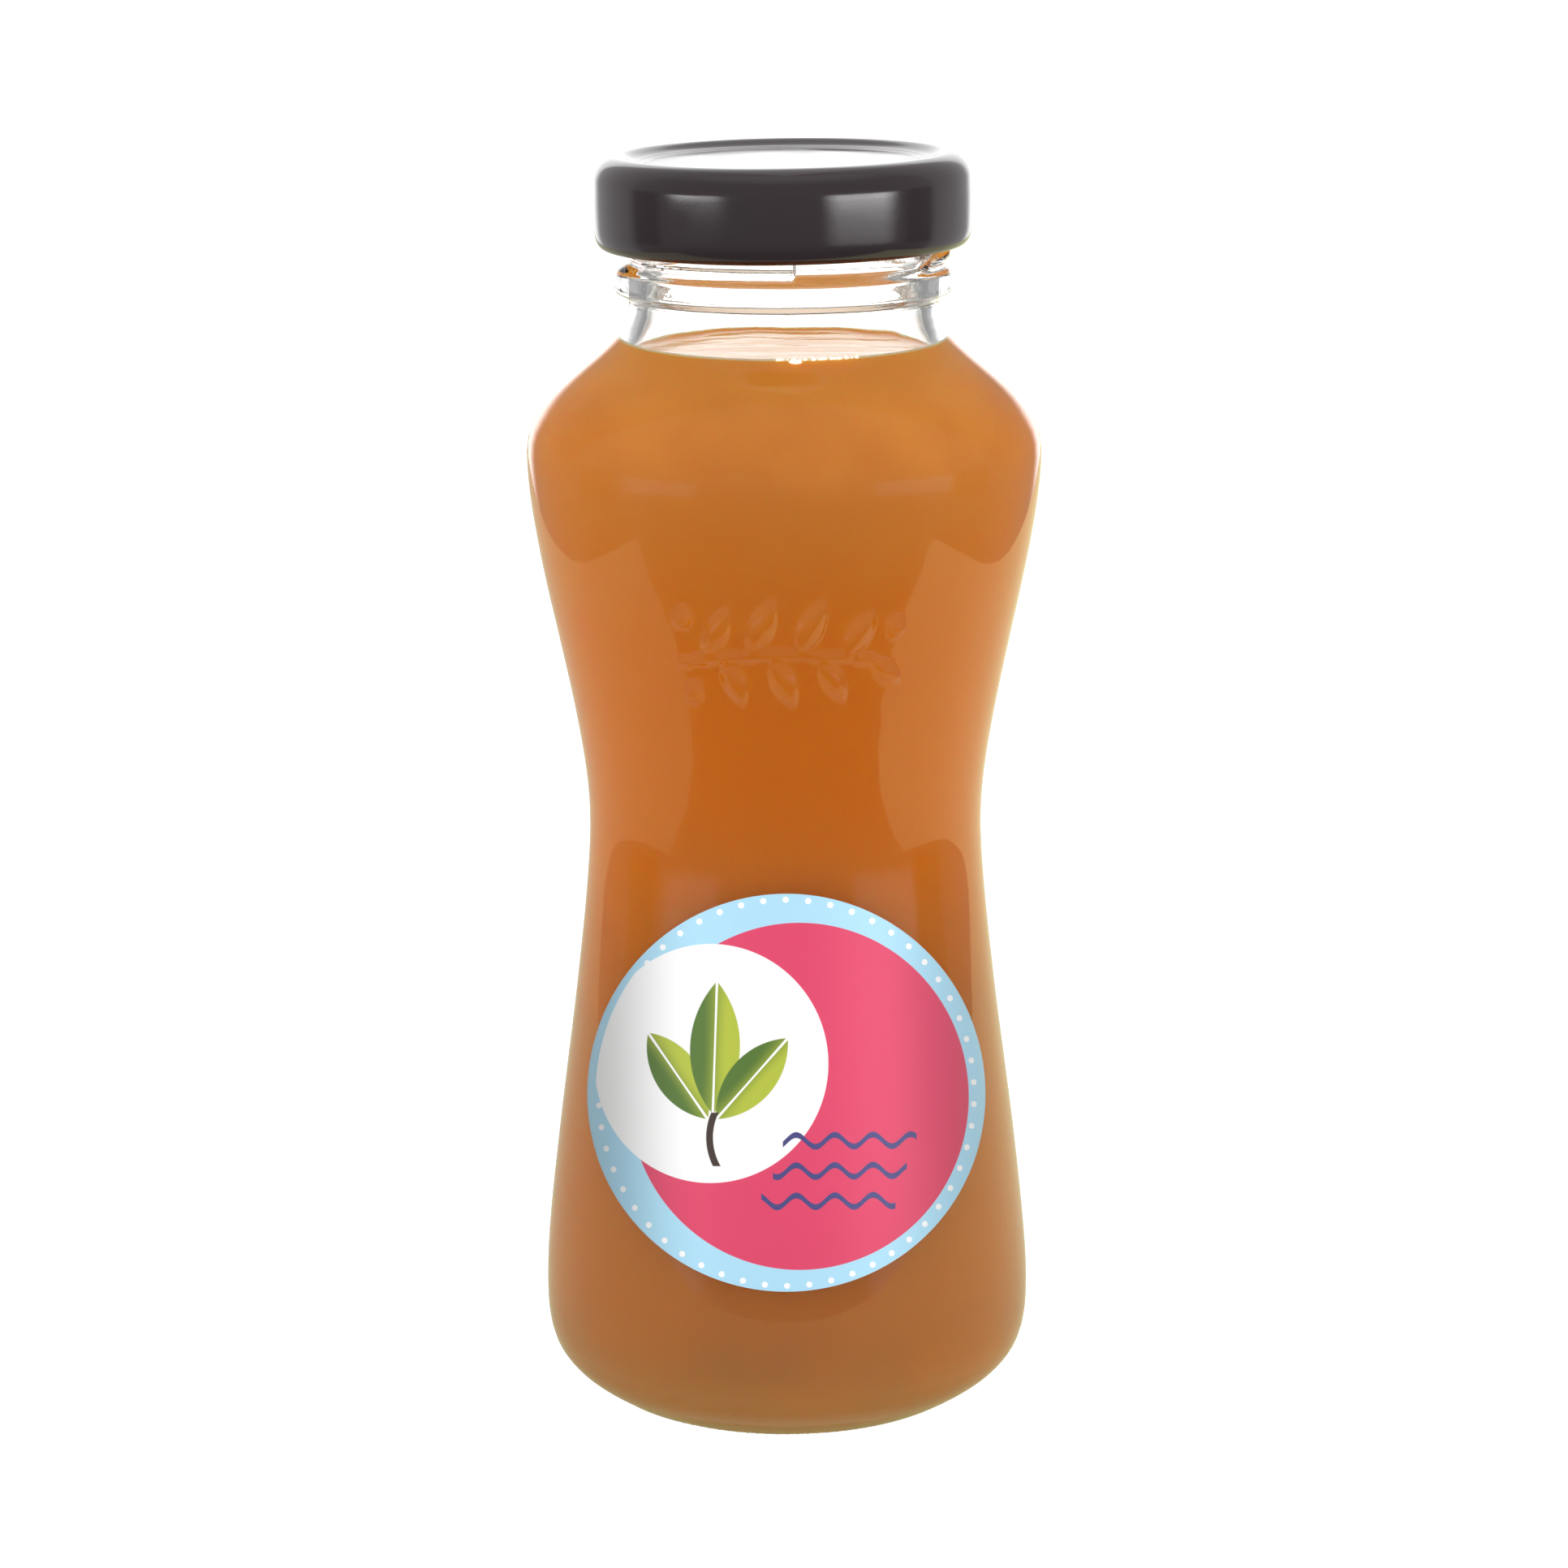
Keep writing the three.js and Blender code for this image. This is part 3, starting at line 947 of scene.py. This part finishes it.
size = wires.node(
    "FunctionNodeRandomValue", {2: given["Smallest"], 3: given["Largest"], "Seed": given["Seed"]}
).outputs[1]
size = wires.node("ShaderNodeVectorMath", {0: given["Flatness"], 3: size}, operation="SCALE").outputs[0]
ball = wires.node("GeometryNodeMeshIcoSphere", {"Radius": 1.0, "Subdivisions": 3})
balls = wires.node("GeometryNodeInstanceOnPoints", {
    "Points": points.outputs[0],
    "Instance": ball.outputs[0],
    "Scale": size,
})
finished(wires, balls.outputs[0], given["Material"])

# The film's pale colour is a painted reflection of the backdrop, and its glow is painted light.
bubble_film, wires, shader = new_material("bubble_film")
froth = wires.noise(wires.place(), scale=3000.0, detail=2.0)
wires.feed(shader, {
    "Base Color": FILM_PAINTED_REFLECTION,
    "Roughness": wires.ramp(froth, 0.3, 0.7, 0.0, 0.12),
    "Emission Color": FILM_PAINTED_REFLECTION,
    "Emission Strength": FILM_PAINTED_GLOW,
})

string = grown("bubble_string", bubble_tree, {
    "Ring Radius": (edge_radius - BUBBLE_SIZES[0] + INTO_GLASS) * MM,
    "Height": (contact - STRING_BELOW) * MM,
    "Material": bubble_film,
})
big = grown("big_bubble", bubble_tree, {
    "Count": 1,
    "Start": BIG_BUBBLE_ANGLE - 1,
    "End": BIG_BUBBLE_ANGLE + 1,
    "Smallest": BIG_BUBBLE_SIZE * MM,
    "Largest": BIG_BUBBLE_SIZE * MM,
    "Ring Radius": (edge_radius + INTO_GLASS) * MM,
    "Height": (contact - BIG_BELOW) * MM,
    "Flatness": BIG_BUBBLE_FLATNESS,
    "Material": bubble_film,
})
print("bubbles", len(string.data.polygons) + len(big.data.polygons), "faces")

# %% [markdown]
# The lid.
# A twist-off lid is pressed from thin steel: a flat panel inside a raised ring, a round shoulder, an
# almost upright skirt and an edge that is rolled in. It is turned from one outline that also closes
# underneath. The skirt bulges by a hair, so that the soft lights fade towards its foot. The lid sits
# about a degree aslant on its threads, so the mesh is turned by as much.

# %% Lid mesh
LID_RADIUS = 22.7
LID_TOP = 153.75
LID_RIM = 142.8
LID_SHEET = 0.4
LID_CURL = (2.1, 2.4)
SKIRT_BARREL = 0.0066
LID_TILT = (math.radians(0.8), math.radians(-0.7))
RING_TOP = 19.7
PANEL_RADIUS = 17.3
PANEL_Z = 152.95
INNER_STEP_RADIUS = 16.2
INNER_STEP_DROP = 0.12

curl_width, curl_height = LID_CURL
curl_inner = LID_RADIUS - curl_width
skirt_foot = LID_RIM + curl_height
skirt_top = LID_TOP - 3.0
floor_z = PANEL_Z - INNER_STEP_DROP
under = soften([
    (0, floor_z - LID_SHEET),
    (PANEL_RADIUS + 0.2, floor_z - LID_SHEET),
    (RING_TOP, LID_TOP - LID_SHEET),
    (LID_RADIUS - 2.7, LID_TOP - LID_SHEET),
    (LID_RADIUS - LID_SHEET, skirt_top),
    (LID_RADIUS - LID_SHEET, skirt_foot + 0.5),
], 0.4, 3)
curl_inside = bend(
    (curl_inner, LID_RIM + 1.5),
    (curl_inner, LID_RIM + 0.6),
    (curl_inner + 0.2, LID_RIM),
    (curl_inner + 0.75, LID_RIM),
    8,
)
skirt_z = np.linspace(skirt_foot, skirt_top, 9)
skirt_middle = (skirt_foot + skirt_top) / 2
skirt = np.column_stack((LID_RADIUS - SKIRT_BARREL * (skirt_z - skirt_middle) ** 2, skirt_z))
skirt_end = skirt[0][0]
curl_outside = bend(
    curl_inside[-1],
    (LID_RADIUS - 0.55, LID_RIM),
    (skirt_end - 0.06, LID_RIM + 0.9),
    (skirt_end, skirt_foot),
    14,
)
shoulder = bend(
    skirt[-1],
    (skirt_end - 0.06, LID_TOP - 1.3),
    (LID_RADIUS - 1.5, LID_TOP),
    (RING_TOP, LID_TOP),
    14,
)
inner_slope = bend(
    shoulder[-1],
    (RING_TOP - 1.0, LID_TOP),
    (PANEL_RADIUS + 1.1, PANEL_Z + 0.15),
    (PANEL_RADIUS, PANEL_Z),
    12,
)
panel = soften([
    inner_slope[-1],
    (INNER_STEP_RADIUS + 0.3, PANEL_Z),
    (INNER_STEP_RADIUS, floor_z),
    (0, floor_z),
], 0.25, 4)
curl = np.vstack([[(curl_inner, LID_RIM + 1.5)], curl_inside, curl_outside[:-1]])
lid_outline = np.vstack([under, curl, skirt, shoulder, inner_slope, panel[1:]])


def lid_push(angle, radius, height, normal):
    """Pressed sheet is a little uneven."""
    return 0.012 * wave(angle, radius, height, 9.0, 41.0)


lid = turned("twist_lid", lid_outline, np.arange(0, 360, 1.5), lid_push)
lid_centre = Matrix.Translation((0, 0, LID_RIM * MM))
lean = Matrix.Rotation(LID_TILT[0], 4, "X") @ Matrix.Rotation(LID_TILT[1], 4, "Y")
lid.data.transform(lid_centre @ lean @ lid_centre.inverted())
_, lid_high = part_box("lid")
print("lid radius", LID_RADIUS, "mm, CAD", round(lid_high.x / MM, 2), "mm")

# %% [markdown]
# Black enamel.
# The lid is coated with a warm black enamel that is baked on. It is smooth but not perfect: a fine
# orange-peel bump breaks up the highlights, and the gloss changes a little from place to place. Inside,
# such a lid is white. The white side is told from the black one by its place and the way it faces. It
# glows a little, in place of the light that comes to it through the glass of the mouth.

# %% Enamel finish
INNER_LACQUER = paint(246, 242, 232)
LACQUER_GLOW = 0.5

black_enamel, wires, shader = new_material("black_enamel")
place = wires.place()
peel = wires.noise(place, scale=1400.0, detail=3.0)
haze = wires.noise(place, scale=120.0, detail=4.0)
enamel = wires.mix(haze, paint(34, 18, 24), paint(26, 13, 19))
x, y, z = wires.parts(place)
radius = wires.length(x, y)
inner = wires.math("LESS_THAN", radius, (LID_RADIUS - 0.3) * MM)
inner = wires.times(inner, wires.math("GREATER_THAN", z, (skirt_foot - 0.5) * MM))
inner = wires.times(inner, wires.math("LESS_THAN", wires.facing_up(), 0.05))
wires.feed(shader, {
    "Base Color": wires.mix(inner, enamel, INNER_LACQUER),
    "Roughness": wires.ramp(haze, 0.3, 0.7, 0.08, 0.16),
    "IOR": 1.6,
    "Emission Color": INNER_LACQUER,
    "Emission Strength": wires.times(inner, LACQUER_GLOW),
    "Normal": wires.bump(strength=0.12, distance=0.00003, height=peel),
})
lid.data.materials.append(black_enamel)
print("enamel finish", len(black_enamel.node_tree.nodes), "nodes")

# %% [markdown]
# The label.
# The label is thin paper that is stuck on the curved wall, yet its edge reads as a circle from the
# front. So a flat disc is laid out first and each of its points is slid along one direction, towards
# the viewer, until it lies on the wall. Its flat place stays with it as a UV map, which the print uses.

# %% Label mesh
LABEL_HALF = (24.4, 23.6)
LABEL_CENTRE_Z = 43.9
LABEL_TILT = math.radians(17.5)
LABEL_BACK = 0.07
LABEL_PAPER = 0.12
LABEL_RINGS = 30
LABEL_SPOKES = 160


def laid_on_wall(u, v, lift):
    """Slides a point of the flat label along the viewing direction on to the wall."""
    near, far = -40.0, 20.0
    for _ in range(50):
        middle = (near + far) / 2
        y = -WAIST[0] + v * math.sin(LABEL_TILT) - middle * math.cos(LABEL_TILT)
        z = LABEL_CENTRE_Z + v * math.cos(LABEL_TILT) + middle * math.sin(LABEL_TILT)
        outside = y < 0 and math.hypot(u, y) > wall_radius(z) + lift
        near, far = (near, middle) if outside else (middle, far)
    return Vector((u, y, z)) * MM


flat = [(0.0, 0.0)]
for ring_number in range(1, LABEL_RINGS + 1):
    share = ring_number / LABEL_RINGS
    for spoke in range(LABEL_SPOKES):
        a = 2 * math.pi * spoke / LABEL_SPOKES
        flat.append((LABEL_HALF[0] * share * math.cos(a), LABEL_HALF[1] * share * math.sin(a)))
front = [laid_on_wall(u, v, LABEL_BACK + LABEL_PAPER) for u, v in flat]
back = [laid_on_wall(u, v, LABEL_BACK) for u, v in flat]
faces = []
count = len(flat)
for spoke in range(LABEL_SPOKES):
    following = (spoke + 1) % LABEL_SPOKES
    faces.append((0, 1 + spoke, 1 + following))
    faces.append((count, count + 1 + following, count + 1 + spoke))
    for ring_number in range(LABEL_RINGS - 1):
        a = 1 + ring_number * LABEL_SPOKES
        b = a + LABEL_SPOKES
        faces.append((a + spoke, b + spoke, b + following, a + following))
        faces.append((count + a + spoke, count + a + following, count + b + following, count + b + spoke))
    a = 1 + (LABEL_RINGS - 1) * LABEL_SPOKES
    faces.append((a + spoke, count + a + spoke, count + a + following, a + following))
label_mesh = bpy.data.meshes.new("round_label")
label_mesh.from_pydata(front + back, [], faces)
label_mesh.polygons.foreach_set("use_smooth", [True] * len(label_mesh.polygons))
flat_map = label_mesh.uv_layers.new(name="flat")
for loop in label_mesh.loops:
    u, v = flat[loop.vertex_index % count]
    flat_map.data[loop.index].uv = (0.5 + u / (2 * LABEL_HALF[0]), 0.5 + v / (2 * LABEL_HALF[1]))
label_mesh.set_sharp_from_angle(angle=math.radians(40))
label = placed("round_label", label_mesh)
print("label", len(label_mesh.polygons), "faces")

# %% [markdown]
# The label's print.
# The print is made of plain shapes, so it can be drawn with sums on the flat map: circles by their
# distance from a centre, leaves as the overlap of two circles, waves by a sine. Each shape is laid over
# the one before. The design is a generic one in the colours of such labels. Towards its left and right
# edges the print is darkened: painted shade, where the paper turns away round the bottle. Light on its
# way into the juice passes the paper, because the picture has no dark rim round the label.

# %% Label print
PRINT_BLUE = paint(174, 222, 245)
PRINT_PINK = paint(224, 64, 104)
PRINT_WHITE = paint(252, 252, 252)
PRINT_GREEN_LIGHT = paint(180, 192, 58)
PRINT_GREEN_DARK = paint(84, 118, 42)
PRINT_STEM = paint(66, 50, 42)
PRINT_NAVY = paint(72, 70, 130)
PRINT_EDGE = 0.06
PINK_DISC = ((1.6, -0.4), 20.6)
WHITE_DISC = ((-9.2, 3.6), 14.2)
WHITE_LIMIT = 23.3
STEM_ROUND = ((-2.0, -5.2), 7.2)
STEM_HALF_WIDTH = 0.42
STEM_SPAN = (-8.6, -2.2)
STEM_RIGHT = (-5.1, -5.0)
VEIN_HALF_WIDTH = 0.22
DOT_RING = (22.9, 54, 0.36)
PRINT_LEAVES = [
    ((-9.4, -3.0), (-16.6, 7.4), 2.7),
    ((-8.8, -2.4), (-8.2, 13.4), 3.0),
    ((-8.4, -3.0), (0.2, 6.6), 2.7),
]
PRINT_WAVES = [(7.6, -5.6), (6.4, -9.2), (5.0, -12.8)]
WAVE_LENGTH = 4.6
WAVE_HEIGHT = 0.7
WAVE_HALF_WIDTH = 0.36
WAVE_REACH = 8.05
SHADE_LEFT = 0.42
SHADE_RIGHT = 0.58
SHADE_REACH = 15.0
PAPER_LETS_THROUGH = 0.6

label_paper, wires, shader = new_material("label_paper")
flat_place = wires.node("ShaderNodeUVMap", uv_map="flat").outputs[0]
flat_x, flat_y, _ = wires.parts(flat_place)
u = wires.times(wires.minus(flat_x, 0.5), 2 * LABEL_HALF[0])
v = wires.times(wires.minus(flat_y, 0.5), 2 * LABEL_HALF[1])


def away(x, y):
    """Distance of a point of the print from a centre."""
    dx = wires.minus(u, float(x))
    dy = wires.minus(v, float(y))
    return wires.length(dx, dy)


def within(distance, limit):
    """Is 1 where the distance is under the limit, with a thin soft edge."""
    return wires.ramp(distance, limit - PRINT_EDGE, limit + PRINT_EDGE, 1.0, 0.0)


ring_radius, dot_count, dot_radius = DOT_RING
turn_share = wires.times(wires.math("ARCTAN2", v, u), dot_count / (2 * math.pi))
dot_step = 2 * math.pi * ring_radius / dot_count
dot_across = wires.times(wires.minus(wires.math("FRACT", turn_share), 0.5), dot_step)
dot_along = wires.minus(away(0, 0), ring_radius)
dot_away = wires.length(dot_across, dot_along)
ink = wires.mix(within(dot_away, dot_radius), PRINT_BLUE, PRINT_WHITE)
ink = wires.mix(within(away(*PINK_DISC[0]), PINK_DISC[1]), ink, PRINT_PINK)
white_disc = wires.times(within(away(*WHITE_DISC[0]), WHITE_DISC[1]), within(away(0, 0), WHITE_LIMIT))
ink = wires.mix(white_disc, ink, PRINT_WHITE)

for base, tip, half_width in PRINT_LEAVES:
    one, other, radius = leaf_rounds(base, tip, half_width)
    far = wires.math("MAXIMUM", away(*one), away(*other))
    vein = wires.math("ABSOLUTE", wires.minus(away(*one), away(*other)))
    shade = wires.ramp(wires.minus(away(*one), away(*other)), -half_width, half_width)
    green = wires.mix(shade, PRINT_GREEN_DARK, PRINT_GREEN_LIGHT)
    green = wires.mix(within(vein, VEIN_HALF_WIDTH), green, PRINT_WHITE)
    ink = wires.mix(within(far, radius), ink, green)

stem_line = wires.math("ABSOLUTE", wires.minus(away(*STEM_ROUND[0]), STEM_ROUND[1]))
stem = wires.times(within(stem_line, STEM_HALF_WIDTH), wires.window(v, *STEM_SPAN, PRINT_EDGE))
stem = wires.times(stem, wires.ramp(u, *STEM_RIGHT, 1.0, 0.0))
ink = wires.mix(stem, ink, PRINT_STEM)

for middle, line in PRINT_WAVES:
    swing = wires.math("SINE", wires.times(u, 2 * math.pi / WAVE_LENGTH))
    from_line = wires.minus(v, wires.plus(wires.times(swing, WAVE_HEIGHT), line))
    stroke = within(wires.math("ABSOLUTE", from_line), WAVE_HALF_WIDTH)
    reach = wires.window(u, middle - WAVE_REACH, middle + WAVE_REACH, PRINT_EDGE)
    ink = wires.mix(wires.times(stroke, reach), ink, PRINT_NAVY)

# Painted shade: the print is darkened towards its left and right edges, where the paper turns away.
left_shade = wires.ramp(u, -LABEL_HALF[0], -LABEL_HALF[0] + SHADE_REACH, SHADE_LEFT, 1.0)
right_shade = wires.ramp(u, LABEL_HALF[0] - SHADE_REACH, LABEL_HALF[0], 1.0, SHADE_RIGHT)
shade = wires.times(left_shade, right_shade)
grey = wires.node("ShaderNodeCombineXYZ", {"X": shade, "Y": shade, "Z": shade}).outputs[0]
ink_with_painted_shade = wires.node("ShaderNodeMix", {0: 1.0, 6: ink, 7: grey}, data_type="RGBA", blend_type="MULTIPLY")
fibre = wires.noise(wires.place(), scale=2600.0, detail=3.0)
wires.feed(shader, {
    "Base Color": ink_with_painted_shade.outputs[2],
    "Roughness": wires.ramp(fibre, 0.2, 0.8, 0.36, 0.48),
    "Normal": wires.bump(strength=0.08, distance=0.00003, height=fibre),
})
end = label_paper.node_tree.nodes["Material Output"]
lit_by = wires.math("MINIMUM", wires.node("ShaderNodeLightPath").outputs["Diffuse Depth"], 1.0)
lit_by = wires.times(lit_by, PAPER_LETS_THROUGH)
let_through = wires.node("ShaderNodeBsdfTransparent").outputs[0]
both = wires.node("ShaderNodeMixShader", {0: lit_by, 1: shader.outputs[0], 2: let_through})
wires.plug(both.outputs[0], end.inputs["Surface"])
label_mesh.materials.append(label_paper)
print("label print", len(label_paper.node_tree.nodes), "nodes")

# %% [markdown]
# Fitting the pieces to the CAD model.
# Every piece rides on the one body of the bottle, and the four CAD solids are hidden. The box of the
# dressed bottle is printed.

# %% Fit to the frame
for piece, slot_name in (
    (glass, "clear_glass"),
    (juice, "cloudy_juice"),
    (string, "cloudy_juice"),
    (big, "cloudy_juice"),
    (lid, "black_enamel"),
    (label, "label_paper"),
):
    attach(piece, "root")
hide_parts("glass_bottle")
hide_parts("juice")
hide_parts("lid")
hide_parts("label")

low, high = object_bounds()
print("visual box", [round(x, 5) for x in low], [round(x, 5) for x in high])
